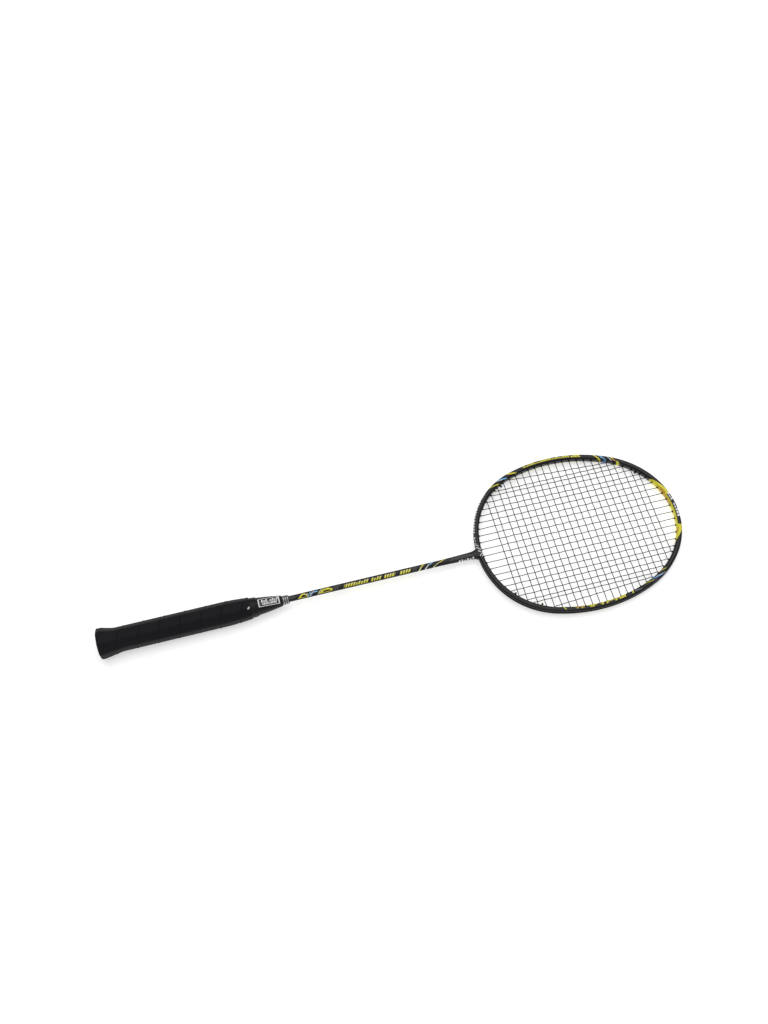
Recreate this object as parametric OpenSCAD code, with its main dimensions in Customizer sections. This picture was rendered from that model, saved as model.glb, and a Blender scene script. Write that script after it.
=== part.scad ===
// Strung racket with an oval hoop, a slim round shaft and a wrapped octagonal handle.
// Units are millimetres. The origin is the centre of the butt end face.
// +X runs along the handle to the tip of the head, +Z is square to the string bed.
// The mid-plane of the string bed and the axis of the shaft lie at z = 0.

/* [Hoop] */
// Overall length from the butt end to the tip of the head
total_length = 675; // [660:1:680]
// Width of the hoop section, in the plane of the strings
hoop_w = 6.2; // [5:0.1:8]
// Depth of the hoop section, square to the strings
hoop_d = 9; // [8:0.1:12]
// Corner radius of the hoop section
hoop_corner = 2.6; // [1:0.1:3]
// Wall thickness of the hoop tube
hoop_wall = 1.2; // [0.8:0.1:1.6]
// Width of the groove around the outside of the hoop
groove_w = 3.4; // [3:0.1:4]
// Depth of the groove around the outside of the hoop
groove_d = 1.2; // [0.8:0.1:1.4]
// Centre-line radius over the crown
crown_r = 85; // [75:0.5:95]
// Centre-line radius of the upper shoulders
upper_shoulder_r = 96.5; // [85:0.5:110]
// Centre-line radius along the sides
side_r = 169; // [140:1:200]
// Centre-line radius of the lower shoulders
lower_shoulder_r = 87.5; // [75:0.5:100]
// Direction where the crown meets the upper shoulder, in degrees from the tip
crown_end = 38; // [30:1:45]
// Direction where the upper shoulder meets the side
upper_end = 66; // [55:1:75]
// Direction where the side meets the lower shoulder
side_end = 107; // [95:1:120]
// Direction where the lower shoulder meets the throat arc
lower_end = 160; // [150:1:170]

/* [Strings] */
// Diameter of the string
string_d = 0.85; // [0.6:0.01:0.9]
// Height of the main strings above the mid-plane, and of the cross strings below it
string_lift = 0.45; // [0.36:0.01:0.5]
// Straight main strings on each side of the axis
main_side_count = 10; // [8:1:11]
// Spacing of the main strings at the axis
main_pitch = 8.75; // [8:0.05:10]
// How fast the main strings close up toward the sides
main_closing = 0.01248; // [0:0.0001:0.02]
// Number of cross strings
cross_count = 23; // [19:1:24]
// Distance of the first cross string from the butt end
cross_first = 463.5; // [460:0.5:470]
// Spacing of the cross strings
cross_pitch = 8.5; // [8:0.05:9.5]
// Cross string whose upper-shoulder hole the outermost main string shares
edge_main_upper = 18; // [16:1:19]
// Cross string whose lower-shoulder hole the outermost main string shares
edge_main_lower = 4; // [3:1:6]
// Two strings nearer than this along the hoop share one hole
share_within = 4.4; // [3:0.1:5]
// Length of string left beyond each knot
tail_length = 3.4; // [2:0.1:6]

/* [Grommets] */
// Outside diameter of a grommet barrel
grommet_d = 2.2; // [2:0.1:2.6]
// Bore of a grommet
grommet_bore_d = 1.82; // [1.5:0.02:1.9]
// Diameter of a grommet flange
grommet_flange_d = 3.2; // [3:0.1:3.4]
// Thickness of a grommet flange
grommet_flange_t = 0.25; // [0.2:0.05:0.5]
// How far a grommet stands out of the inner wall
grommet_tip = 0.9; // [0.4:0.1:1.5]

/* [Shaft] */
// Outside diameter of the shaft tube
shaft_d = 6.9; // [6.5:0.1:7.5]
// Bore of the shaft tube
shaft_bore_d = 4.4; // [4:0.1:5]
// Distance of the hidden shaft end from the butt end
shaft_start = 95; // [60:1:130]
// Distance of the start of the throat fairing from the butt end
fairing_start = 392; // [380:1:405]
// Diameter of the throat fairing where it meets the hoop
fairing_d = 9.6; // [8:0.1:10]
// How far the fairing wraps over the edge of the hoop
fairing_wrap = 2.2; // [1:0.1:2.4]
// Length of the joint spigot inside the shaft
spigot_length = 28; // [20:1:40]
// Half of the arc that the joint saddle covers inside the hoop, in degrees
saddle_half = 6.5; // [4:0.5:10]

/* [Handle] */
// Width across the flats of the wooden handle
core_flats = 23.2; // [21:0.1:25]
// Width across the flats of the flared butt
butt_flats = 29.6; // [27:0.1:32]
// Length of the widest part of the butt
butt_length = 8; // [5:0.5:12]
// Distance from the butt end where the flare runs out
flare_end = 27; // [20:0.5:35]
// Length of the handle up to the cone
core_end = 148; // [140:1:155]
// Thickness of the butt cap
cap_t = 2.4; // [1.5:0.1:4]
// Diameter of the badge set into the butt cap
badge_d = 19; // [15:0.5:22]
// Thickness of the badge
badge_t = 0.8; // [0.5:0.1:1.2]
// Thickness of the grip tape
grip_t = 1.7; // [1.2:0.1:2.2]
// Distance from the butt end where the grip tape ends
grip_end = 170; // [165:1:180]
// Width across the flats of the grip where it ends
grip_end_flats = 23.4; // [22:0.1:25]
// Width across the flats of the grip's bore where it ends
grip_end_bore = 21.7; // [21:0.1:22.5]
// Length of the finishing tape
finish_length = 8; // [6:0.5:15]
// Thickness of the finishing tape next to the grip
finish_wide_t = 0.9; // [0.4:0.05:1.2]
// Thickness of the finishing tape at its free edge
finish_thin_t = 0.5; // [0.3:0.05:0.8]

/* [Cone and collar] */
// Distance from the butt end where the cone ends
cone_end = 206; // [200:1:212]
// Diameter of the cone at its wide end
cone_wide_d = 22.8; // [20:0.1:24]
// How strongly the cone bulges; 1 is straight
cone_bulge = 2; // [1:0.1:3]
// Diameter of the cone at its narrow end
cone_narrow_d = 12; // [10:0.1:14]
// Start of the cone label from the butt end
label_start = 182; // [180:2:184]
// Length of the cone label
label_length = 20; // [14:2:22]
// Angle around the cone that the label covers
label_span = 84; // [60:1:120]
// Thickness of the cone label
label_t = 0.2; // [0.15:0.05:0.4]
// Length of the collar
collar_length = 8; // [6:0.5:12]
// Diameter of the collar at the cone
collar_wide_d = 10.2; // [9:0.1:12]
// Diameter of the collar at the shaft
collar_narrow_d = 8.8; // [8:0.1:10]
// Number of bright rings on the collar
ring_count = 3; // [1:1:4]
// Width of each bright ring on the collar
ring_w = 1.2; // [0.8:0.1:2]
// Spacing of the rings
ring_pitch = 2.4; // [2:0.1:4]
// How far a ring stands proud of the collar
ring_proud = 0.35; // [0.2:0.05:0.6]

/* [Hidden] */
$fn = 64;
fit_gap = 0.03;
over = 1;
octagon = 1 / cos(22.5);
tip_radius_x = total_length - hoop_w / 2;
throat_r = -(crown_r * sin(crown_end)
    + upper_shoulder_r * (sin(upper_end) - sin(crown_end))
    + side_r * (sin(side_end) - sin(upper_end))
    + lower_shoulder_r * (sin(lower_end) - sin(side_end))) / (0 - sin(lower_end));
arc_r = [crown_r, upper_shoulder_r, side_r, lower_shoulder_r, throat_r];
arc_a = [0, crown_end, upper_end, side_end, lower_end, 180];
cavity_w = hoop_w - 2 * hoop_wall - groove_d + 0.4;
cavity_shift = -(groove_d - 0.4) / 2;
cavity_corner = cavity_w / 2 - 0.05;
floor_out = hoop_w / 2 - groove_d;
loop_out = hoop_w / 2 - 0.45;
inner_out = -hoop_w / 2;
tip_out = inner_out - grommet_tip;
turn_out = tip_out - 0.55;
string_r = string_d / 2;
corner_cut = 0.4;
string_sides = 6;
core_bore_d = shaft_d + 0.1;
cone_steps = 29;
cone_step = (cone_end - core_end) / cone_steps;
knot_wire_r = 0.4;

// Centre, point, side test and length along the chain of five tangent arcs
function arc_c(i) = i == 0 ? [tip_radius_x - arc_r[0], 0]
    : arc_c(i - 1) + (arc_r[i - 1] - arc_r[i]) * [cos(arc_a[i]), sin(arc_a[i])];
arc_centre = [for (i = [0:4]) arc_c(i)];
function arc_of(a) = a < arc_a[1] ? 0 : a < arc_a[2] ? 1 : a < arc_a[3] ? 2 : a < arc_a[4] ? 3 : 4;
function rim(a, out) = arc_centre[arc_of(a)] + (arc_r[arc_of(a)] + out) * [cos(a), sin(a)];
function run(a) = a <= 0 ? 0 : arc_r[arc_of(a)] * (a - arc_a[arc_of(a)]) * PI / 180
    + (arc_of(a) == 0 ? 0 : run_to(arc_of(a)));
function run_to(i) = i == 0 ? 0 : run_to(i - 1) + arc_r[i - 1] * (arc_a[i] - arc_a[i - 1]) * PI / 180;

// Direction at which the inner wall reaches a given x (axis 0) or y (axis 1)
function seek(axis, goal, lo, hi, n) = n == 0 ? (lo + hi) / 2
    : (rim(lo, inner_out)[axis] - goal) * (rim((lo + hi) / 2, inner_out)[axis] - goal) <= 0
    ? seek(axis, goal, lo, (lo + hi) / 2, n - 1)
    : seek(axis, goal, (lo + hi) / 2, hi, n - 1);

main_y = [for (i = [0:main_side_count - 1]) main_pitch * (i + 0.5) - main_closing * pow(i, 3)];
cross_x = [for (j = [0:cross_count - 1]) cross_first + cross_pitch * j];
cross_raw = [for (x = cross_x) seek(0, x, 1, 179, 40)];
upper_raw = [for (y = main_y) seek(1, y, 0, 89, 40)];
lower_raw = [for (y = main_y) seek(1, y, 91, 180, 40)];

// A main and a cross that leave the hoop close together meet at one shared hole
function near(a, list) = [for (b = list) if (abs(run(a) - run(b)) < share_within) b];
function joined(a, list) = len(near(a, list)) > 0 ? (a + near(a, list)[0]) / 2 : a;
cross_a = [for (a = cross_raw) joined(a, concat(upper_raw, lower_raw))];
upper_a = concat([for (a = upper_raw) joined(a, cross_raw)], [cross_a[edge_main_upper]]);
lower_a = concat([for (a = lower_raw) joined(a, cross_raw)], [cross_a[edge_main_lower]]);
main_last = main_side_count;

// Tie-off holes stand midway between two string holes
main_tie = (cross_a[edge_main_lower - 1] + cross_a[edge_main_lower - 2]) / 2;
cross_tie_low = (cross_a[0] + lower_a[6]) / 2;
cross_tie_high = (cross_a[cross_count - 1] + cross_a[cross_count - 2]) / 2;

// Hole lists, each entry [direction, side], side -1 for the near half and 1 for the far half
function sides(list) = [for (a = list, s = [-1, 1]) [a, s]];
shared_list = [for (a = cross_a) if (len(near(a, concat(upper_a, lower_a))) > 0) a];
crown_list = [for (a = upper_a) if (len(near(a, shared_list)) == 0) a];
throat_list = [for (a = lower_a) if (len(near(a, shared_list)) == 0) a];
side_list = [for (a = cross_a) if (len(near(a, shared_list)) == 0) a];
tie_main = [[main_tie, -1], [main_tie, 1]];
tie_cross = [[cross_tie_low, -1], [cross_tie_high, 1]];
all_holes = concat(sides(crown_list), sides(throat_list), sides(side_list),
    sides(shared_list), tie_main, tie_cross);

// Handle profiles, as radius at a distance from the butt end
function cone_r(x) = cone_narrow_d / 2
    + (cone_wide_d - cone_narrow_d) / 2 * (1 - pow((x - core_end) / (cone_end - core_end), cone_bulge));
function collar_r(x) = collar_wide_d / 2
    + (collar_narrow_d - collar_wide_d) / 2 * (x - cone_end) / collar_length;
function cone_line(x0, x1, raise) = [for (x = [x0 : cone_step : x1 + 0.01]) [cone_r(x) + raise, x]];

// String routes, as corner points in the plane of the string
function flip(p, side) = [p[0], side * p[1]];
function groove_pt(a, side) = flip(rim(a, loop_out), side);
function turn_pt(a, side) = flip(rim(a, turn_out), side);
function tail_pt(a, side) = flip(rim(a, inner_out - tail_length), side);
function leave(a, side) = [turn_pt(a, side), groove_pt(a, side)];
function enter(a, side) = [groove_pt(a, side), turn_pt(a, side)];
function way(a, b, side) = [groove_pt((a + b) / 2, side)];

// Mains run outermost near side to outermost far side, turning at the crown on the axis
main_order = concat([for (i = [main_last : -1 : 0]) [i, -1]], [for (i = [0 : main_last]) [i, 1]]);
function main_end(k, first) = (k % 2 == 0) == first ? lower_a[main_order[k][0]]
    : upper_a[main_order[k][0]];
main_total = len(main_order);
main_route = concat(
    [tail_pt(main_tie, -1), groove_pt(main_tie, -1), groove_pt(cross_a[edge_main_lower - 1], -1)],
    [for (k = [0 : main_total - 1]) each concat(
        enter(main_end(k, true), main_order[k][1]),
        leave(main_end(k, false), main_order[k][1]),
        k == main_total - 1 ? [] : main_order[k][1] != main_order[k + 1][1] ? [[tip_radius_x + loop_out, 0]]
            : way(main_end(k, false), main_end(k + 1, true), main_order[k][1]))],
    [groove_pt(cross_a[edge_main_lower - 1], 1), groove_pt(main_tie, 1), tail_pt(main_tie, 1)]);

// Crosses run from the throat to the crown, turning on alternate sides
function cross_side(j) = j % 2 == 0 ? 1 : -1;
cross_route = concat(
    [tail_pt(cross_tie_low, -1), groove_pt(cross_tie_low, -1)],
    [for (j = [0 : cross_count - 1]) each concat(
        enter(cross_a[j], -cross_side(j)),
        leave(cross_a[j], cross_side(j)),
        j == cross_count - 1 ? [] : way(cross_a[j], cross_a[j + 1], cross_side(j)))],
    [groove_pt(cross_tie_high, cross_side(cross_count - 1)),
    tail_pt(cross_tie_high, cross_side(cross_count - 1))]);

// Cut every sharp corner of a route, then frame each point with its mitred side vector
function unit(v) = v / norm(v);
function turn_cos(p, i) = unit(p[i] - p[i - 1]) * unit(p[i + 1] - p[i]);
function soften(p) = concat([p[0]],
    [for (i = [1 : len(p) - 2]) each turn_cos(p, i) > 0.95 ? [p[i]]
        : [p[i] + corner_cut * unit(p[i - 1] - p[i]), p[i] + corner_cut * unit(p[i + 1] - p[i])]],
    [p[len(p) - 1]]);
function heading(p, i) = i == 0 ? unit(p[1] - p[0]) : i == len(p) - 1 ? unit(p[i] - p[i - 1])
    : unit(unit(p[i] - p[i - 1]) + unit(p[i + 1] - p[i]));
function mitre(p, i) = i == 0 || i == len(p) - 1 ? 1 : 1 / sqrt((1 + turn_cos(p, i)) / 2);
function ring(p, i, r, z, n) = [for (k = [0 : n - 1]) let (t = 360 * k / n + 90, h = heading(p, i))
    [p[i][0] - h[1] * r * cos(t) * mitre(p, i), p[i][1] + h[0] * r * cos(t) * mitre(p, i), z + r * sin(t)]];

fairing_face = arc_centre[4][0] - throat_r - hoop_w / 2;
carbon = [0.08, 0.08, 0.09];
black = [0.05, 0.05, 0.05];
silver = [0.75, 0.76, 0.78];

// ---- helpers ----

module along_x(x) {
    translate([x, 0, 0]) rotate([0, 90, 0]) children();
}

// Put children at a rim direction, local +Z pointing out of the hoop
module at_rim(a, side, out) {
    p = rim(a, out);
    translate([p[0], side * p[1], 0]) rotate([0, 0, side * a]) rotate([0, 90, 0]) children();
}

// Box outline with round corners
module rounded(w, d, r) {
    square([w, d - 2 * r], center = true);
    square([w - 2 * r, d], center = true);
    for (sx = [-1, 1], sy = [-1, 1])
        translate([sx * (w / 2 - r), sy * (d / 2 - r)]) circle(r);
}

// The same outline as a list of points, running anticlockwise
function corner(x, y, r, a) = [for (k = [0 : 4]) [x + r * cos(a + 22.5 * k), y + r * sin(a + 22.5 * k)]];
function round_box(w, d, r) = concat(
    corner(w / 2 - r, d / 2 - r, r, 0),
    corner(r - w / 2, d / 2 - r, r, 90),
    corner(r - w / 2, r - d / 2, r, 180),
    corner(w / 2 - r, r - d / 2, r, 270));

// Sweep a section, drawn about its own centre, along arc i on one side
module arc_sweep(i, side) {
    c = arc_centre[i];
    start = side > 0 ? arc_a[i] : -arc_a[i + 1];
    translate([c[0], side * c[1], 0]) rotate([0, 0, start])
        rotate_extrude(angle = arc_a[i + 1] - arc_a[i], $fn = 360)
            translate([arc_r[i], 0]) children();
}

// The same about the middle of the throat arc, half degrees to each side
module throat_sweep(half) {
    translate([arc_centre[4][0], 0, 0]) rotate([0, 0, 180 - half])
        rotate_extrude(angle = 2 * half, $fn = 360) translate([throat_r, 0]) children();
}

module hoop_section() {
    difference() {
        rounded(hoop_w, hoop_d, hoop_corner);
        translate([cavity_shift, 0]) rounded(cavity_w, hoop_d - 2 * hoop_wall, cavity_corner);
        translate([floor_out, -groove_w / 2]) square([groove_d + over, groove_w]);
    }
}

// ---- hoop and joint ----

module frame_hoop() {
    color(carbon) difference() {
        for (i = [0:4], side = [-1, 1]) arc_sweep(i, side) hoop_section();
        for (h = all_holes) at_rim(h[0], h[1], inner_out - over)
            cylinder(h = hoop_w + 2 * over, d = grommet_d + 0.06, $fn = 24);
        along_x(fairing_face - over)
            cylinder(h = hoop_wall + groove_d + 2 * over, d = shaft_bore_d - 0.1);
    }
}

// Moulded joint: a saddle inside the hoop and a spigot inside the shaft
module t_joint() {
    color([0.35, 0.35, 0.37]) difference() {
        union() {
            along_x(fairing_face - spigot_length)
                cylinder(h = spigot_length + groove_d + 1.5, d = shaft_bore_d - 0.16);
            throat_sweep(saddle_half) translate([cavity_shift, 0])
                polygon(round_box(cavity_w - 0.16, hoop_d - 2 * hoop_wall - 0.16, cavity_corner - 0.28));
        }
        for (side = [-1, 1]) at_rim(lower_a[0], side, inner_out - over)
            cylinder(h = hoop_w + 2 * over, d = grommet_d + 0.2, $fn = 24);
    }
}

// Flared sleeve that blends the shaft into the hoop
module throat_fairing() {
    reach = fairing_face + fairing_wrap - fairing_start;
    r0 = shaft_d / 2 + 0.15;
    r1 = fairing_d / 2;
    color(carbon) difference() {
        along_x(fairing_start) rotate_extrude() polygon(concat(
            [[shaft_d / 2 + fit_gap, 0]],
            [for (t = [0 : 0.25 : 1]) [r0 + (r1 - r0) * (0.55 * t + 0.45 * t * t), reach * t]],
            [[shaft_d / 2 + fit_gap, reach]]));
        throat_sweep(saddle_half)
            polygon(round_box(hoop_w + 2 * fit_gap, hoop_d + 2 * fit_gap, hoop_corner + fit_gap));
    }
}

module shaft() {
    color(carbon) along_x(shaft_start) difference() {
        cylinder(h = fairing_face - 0.1 - shaft_start, d = shaft_d);
        translate([0, 0, -over]) cylinder(h = fairing_face - shaft_start + 2 * over, d = shaft_bore_d);
    }
}

// ---- collar and cone ----

module collar_sleeve() {
    color([0.3, 0.3, 0.32]) along_x(cone_end + fit_gap) difference() {
        cylinder(h = collar_length, d1 = collar_wide_d, d2 = collar_narrow_d);
        translate([0, 0, -over]) cylinder(h = collar_length + 2 * over, d = shaft_d + 2 * fit_gap);
    }
}

module collar_rings() {
    first = cone_end + (collar_length - ring_pitch * (ring_count - 1) - ring_w) / 2;
    color(silver) for (k = [0 : ring_count - 1]) {
        x = first + k * ring_pitch;
        along_x(x) rotate_extrude() polygon([
            [collar_r(x) + fit_gap, 0],
            [collar_r(x) + ring_proud * 0.7, 0],
            [collar_r(x) + ring_proud, ring_w * 0.25],
            [collar_r(x) + ring_proud, ring_w * 0.75],
            [collar_r(x) + ring_proud * 0.7, ring_w],
            [collar_r(x) + fit_gap, ring_w]]);
    }
}

module cone() {
    color(black) along_x(0) rotate_extrude() polygon(concat(
        [[core_bore_d / 2, core_end + fit_gap]],
        cone_line(core_end + fit_gap, core_end + fit_gap, 0),
        cone_line(core_end + cone_step, cone_end, 0),
        [[core_bore_d / 2, cone_end]]));
}

// Thin band of material lying on the cone between two distances
module cone_skin(x0, x1, t0, t1, turn) {
    inner = cone_line(x0, x1, fit_gap);
    n = len(inner) - 1;
    outer = [for (i = [n : -1 : 0]) [inner[i][0] + t0 + (t1 - t0) * i / n, inner[i][1]]];
    along_x(0) rotate([0, 0, 180 - turn / 2]) rotate_extrude(angle = turn)
        polygon(concat(inner, outer));
}

module cone_label() {
    color([0.85, 0.85, 0.85])
        cone_skin(label_start, label_start + label_length, label_t, label_t, label_span);
}

module finish_tape() {
    color(black) cone_skin(grip_end + fit_gap, grip_end + finish_length, finish_wide_t, finish_thin_t, 360);
}

// ---- handle ----

// Eight-sided bar with a flat upward, drawn from one distance to another
module eight_bar(x0, x1, flats0, flats1) {
    along_x(x0) rotate([0, 0, 22.5])
        cylinder(h = x1 - x0, d1 = flats0 * octagon, d2 = flats1 * octagon, $fn = 8);
}

module handle_core() {
    color([0.72, 0.55, 0.36]) difference() {
        union() {
            eight_bar(cap_t + fit_gap, butt_length, butt_flats, butt_flats);
            eight_bar(butt_length, flare_end, butt_flats, core_flats);
            eight_bar(flare_end, core_end, core_flats, core_flats);
        }
        along_x(shaft_start - 2) cylinder(h = core_end - shaft_start + 4, d = core_bore_d);
    }
}

module butt_cap() {
    color(black) difference() {
        eight_bar(0, cap_t, butt_flats, butt_flats);
        along_x(-over) cylinder(h = badge_t + fit_gap + over, d = badge_d + 2 * fit_gap);
    }
}

module butt_badge() {
    color(silver) along_x(0) cylinder(h = badge_t, d = badge_d);
}

// Eight-sided sleeve from two lists of [distance, width across the flats], drawn as one skin
function eight_ring(p) = [for (k = [0:7])
    [p[0], p[1] / 2 * octagon * cos(45 * k + 22.5), p[1] / 2 * octagon * sin(45 * k + 22.5)]];
module eight_sleeve(outer, bore) {
    line = concat(outer, [for (i = [len(bore) - 1 : -1 : 0]) bore[i]]);
    m = len(line);
    polyhedron(points = [for (p = line) each eight_ring(p)],
        faces = [for (i = [0 : m - 1], k = [0:7]) let (j = (i + 1) % m, q = (k + 1) % 8)
            [i * 8 + k, j * 8 + k, j * 8 + q, i * 8 + q]]);
}

module grip() {
    g = 2 * grip_t;
    f = 2 * fit_gap;
    color(black) eight_sleeve(
        [[0.6, butt_flats + g], [butt_length, butt_flats + g], [flare_end, core_flats + g],
            [core_end, core_flats + g], [grip_end, grip_end_flats]],
        [[0.6, butt_flats + f], [butt_length, butt_flats + f], [flare_end, core_flats + f],
            [core_end, core_flats + f], [grip_end, grip_end_bore]]);
}

// ---- strings ----

module cord_along(route, z) {
    p = soften(route);
    n = string_sides;
    m = len(p);
    pts = [for (i = [0 : m - 1]) each ring(p, i, string_r, z, n)];
    walls = [for (i = [0 : m - 2], k = [0 : n - 1])
        [i * n + k, (i + 1) * n + k, (i + 1) * n + (k + 1) % n, i * n + (k + 1) % n]];
    start_cap = [[for (k = [0 : n - 1]) k]];
    end_cap = [[for (k = [n - 1 : -1 : 0]) (m - 1) * n + k]];
    polyhedron(points = pts, faces = concat(walls, start_cap, end_cap), convexity = 10);
}

module main_string() {
    color(black) cord_along(main_route, string_lift);
}

module cross_string() {
    color(black) cord_along(cross_route, -string_lift);
}

// Two touching turns of string around each tail
module knots(list, z) {
    wrap_r = string_r + 0.03 + knot_wire_r;
    for (h = list) translate([0, 0, z]) at_rim(h[0], h[1], tip_out - 0.2 - knot_wire_r)
        for (k = [0, 1]) translate([0, 0, -k * knot_wire_r * 1.8])
            rotate_extrude() translate([wrap_r, 0]) circle(knot_wire_r, $fn = 24);
}

module main_knots() {
    color(black) knots(tie_main, string_lift);
}

module cross_knots() {
    color(black) knots(tie_cross, -string_lift);
}

// ---- grommets ----

module grommets(list) {
    seat = floor_out + 0.02;
    for (h = list) at_rim(h[0], h[1], 0) rotate_extrude($fn = 32) polygon([
        [grommet_bore_d / 2, tip_out],
        [grommet_d / 2, tip_out],
        [grommet_d / 2, seat],
        [grommet_flange_d / 2, seat],
        [grommet_flange_d / 2, seat + grommet_flange_t],
        [grommet_bore_d / 2, seat + grommet_flange_t]]);
}

module crown_grommets() {
    color(black) grommets(sides(crown_list));
}

module far_grommets() {
    color(black) grommets([for (a = side_list) [a, 1]]);
}

module near_grommets() {
    color(black) grommets([for (a = side_list) [a, -1]]);
}

module throat_grommets() {
    color(black) grommets(sides(throat_list));
}

module shared_grommets() {
    color(black) grommets(sides(shared_list));
}

module tie_grommets() {
    color(black) grommets(concat(tie_main, tie_cross));
}

frame_hoop();
t_joint();
throat_fairing();
shaft();
collar_sleeve();
collar_rings();
cone();
cone_label();
finish_tape();
handle_core();
butt_cap();
butt_badge();
grip();
main_string();
cross_string();
main_knots();
cross_knots();
crown_grommets();
far_grommets();
near_grommets();
throat_grommets();
shared_grommets();
tie_grommets();
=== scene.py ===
"""Strung badminton racket lying on a pale floor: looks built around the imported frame."""
import bisect
import math

import bmesh
import bpy
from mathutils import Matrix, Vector


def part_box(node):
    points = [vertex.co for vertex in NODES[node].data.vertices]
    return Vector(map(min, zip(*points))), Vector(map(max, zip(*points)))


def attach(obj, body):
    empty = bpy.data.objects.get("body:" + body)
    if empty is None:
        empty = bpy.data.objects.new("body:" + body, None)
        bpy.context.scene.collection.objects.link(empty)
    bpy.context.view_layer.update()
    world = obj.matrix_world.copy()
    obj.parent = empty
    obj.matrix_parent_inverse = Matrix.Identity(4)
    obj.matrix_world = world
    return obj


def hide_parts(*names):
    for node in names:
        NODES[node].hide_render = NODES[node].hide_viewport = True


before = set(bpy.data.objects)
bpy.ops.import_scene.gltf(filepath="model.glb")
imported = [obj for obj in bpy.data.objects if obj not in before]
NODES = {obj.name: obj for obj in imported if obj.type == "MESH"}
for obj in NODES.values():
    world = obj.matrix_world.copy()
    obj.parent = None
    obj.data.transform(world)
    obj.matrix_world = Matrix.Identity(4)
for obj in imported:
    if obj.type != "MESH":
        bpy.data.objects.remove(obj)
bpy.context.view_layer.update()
MM = 0.001
TAU = 2 * math.pi

# ---- design numbers, in mm, as in part.scad ----

TOTAL_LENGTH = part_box("frame_hoop")[1].x / MM
HOOP_W, HOOP_D, HOOP_CORNER = 6.2, 9.0, 2.6
GROOVE_HALF, GROOVE_D = 1.7, 1.2
ARC_A = [0, 38, 66, 107, 160, 180]
ARC_R = [85, 96.5, 169, 87.5]
STRING_R = 0.425
STRING_LIFT = 0.45
LOOP_OUT = HOOP_W / 2 - 0.45
INNER_OUT = -HOOP_W / 2
TURN_OUT = INNER_OUT - 1.45
TAIL_OUT = INNER_OUT - 3.4
CROSS_COUNT = 23
MAIN_SIDE = 10
EDGE_UPPER, EDGE_LOWER = 18, 4
SHARE_WITHIN = 4.4
FIRST_CROSS_X, CROSS_STEP = 463.5, 8.5
MAIN_STEP, MAIN_CLOSING = 8.75, 0.01248
SHAFT_R = 3.45
FAIRING_START = 392.0
CONE_START, CONE_END = 148.0, 206.0
COLLAR_END = 214.0
GRIP_START, GRIP_END = 0.6, 170.0
CORE_FLATS, BUTT_FLATS, GRIP_T = 23.2, 29.6, 1.7

# ---- sizes of the looks only, in mm ----

IN_GROOVE = 1.3   # the print's v in the groove, past the outer wall at 1
SHOWN_STRING_R = STRING_R * 1.08
WEAVE_LIFT = STRING_R * 1.07
COLLAR_WIDE_R, COLLAR_NARROW_R = 5.3, 4.85
TAPE_START, TAPE_LENGTH = 168.2, 9.8
GRIP_BORE_END = 21.8
WRAP_PITCH = 23.0
LABEL_START, LABEL_END = 179.4, 203.2
LABEL_U, LABEL_V = 22.0, 12.0   # the label's print area


def sin_d(a):
    return math.sin(math.radians(a))


def cos_d(a):
    return math.cos(math.radians(a))


ARC_R.append(sum(r * (sin_d(b) - sin_d(a)) for r, a, b in zip(ARC_R, ARC_A, ARC_A[1:]))
             / sin_d(ARC_A[4]))
ARC_C = [(TOTAL_LENGTH - HOOP_W / 2 - ARC_R[0], 0.0)]
for _i in range(1, 5):
    _d = ARC_R[_i - 1] - ARC_R[_i]
    ARC_C.append((ARC_C[-1][0] + _d * cos_d(ARC_A[_i]), ARC_C[-1][1] + _d * sin_d(ARC_A[_i])))
RUN_AT = [0.0]
for _i in range(5):
    RUN_AT.append(RUN_AT[-1] + ARC_R[_i] * math.radians(ARC_A[_i + 1] - ARC_A[_i]))


def arc_of(a):
    """Which of the five arcs a rim direction, in degrees from the tip, is on."""
    return min(4, max(0, bisect.bisect_right(ARC_A, a) - 1))


def rim(a, out, side=1):
    """Point at a rim direction, out mm outside the centre-line; side is 1 for +Y."""
    i = arc_of(a)
    r = ARC_R[i] + out
    return (ARC_C[i][0] + r * cos_d(a), side * (ARC_C[i][1] + r * sin_d(a)))


def run(a):
    """Length along the centre-line from the tip to a rim direction."""
    i = arc_of(a)
    return RUN_AT[i] + ARC_R[i] * math.radians(a - ARC_A[i])


def direction_at(s):
    """The rim direction at a length along the centre-line."""
    i = min(4, max(0, bisect.bisect_right(RUN_AT, s) - 1))
    return ARC_A[i] + math.degrees((s - RUN_AT[i]) / ARC_R[i])


# ---- mesh helpers ----

def finish_mesh(piece, bm, material, sharp=40, replaced=()):
    """Cleans a bmesh up, shades it and makes it a piece on the root body."""
    bmesh.ops.remove_doubles(bm, verts=bm.verts, dist=1e-7)
    bmesh.ops.recalc_face_normals(bm, faces=bm.faces)
    limit = math.radians(sharp)
    for face in bm.faces:
        face.smooth = True
    for edge in bm.edges:
        if len(edge.link_faces) == 2 and edge.calc_face_angle(0) > limit:
            edge.smooth = False
    mesh = bpy.data.meshes.new(piece)
    bm.to_mesh(mesh)
    bm.free()
    mesh.materials.append(material)
    obj = bpy.data.objects.new(piece, mesh)
    bpy.context.scene.collection.objects.link(obj)
    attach(obj, "root")
    if replaced:
        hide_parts(*replaced)
    return obj


def corners_of(i, k):
    """Row and column of the four corners of a grid's cell, in the order of its face."""
    return (i, k), (i + 1, k), (i + 1, k + 1), (i, k + 1)


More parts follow.
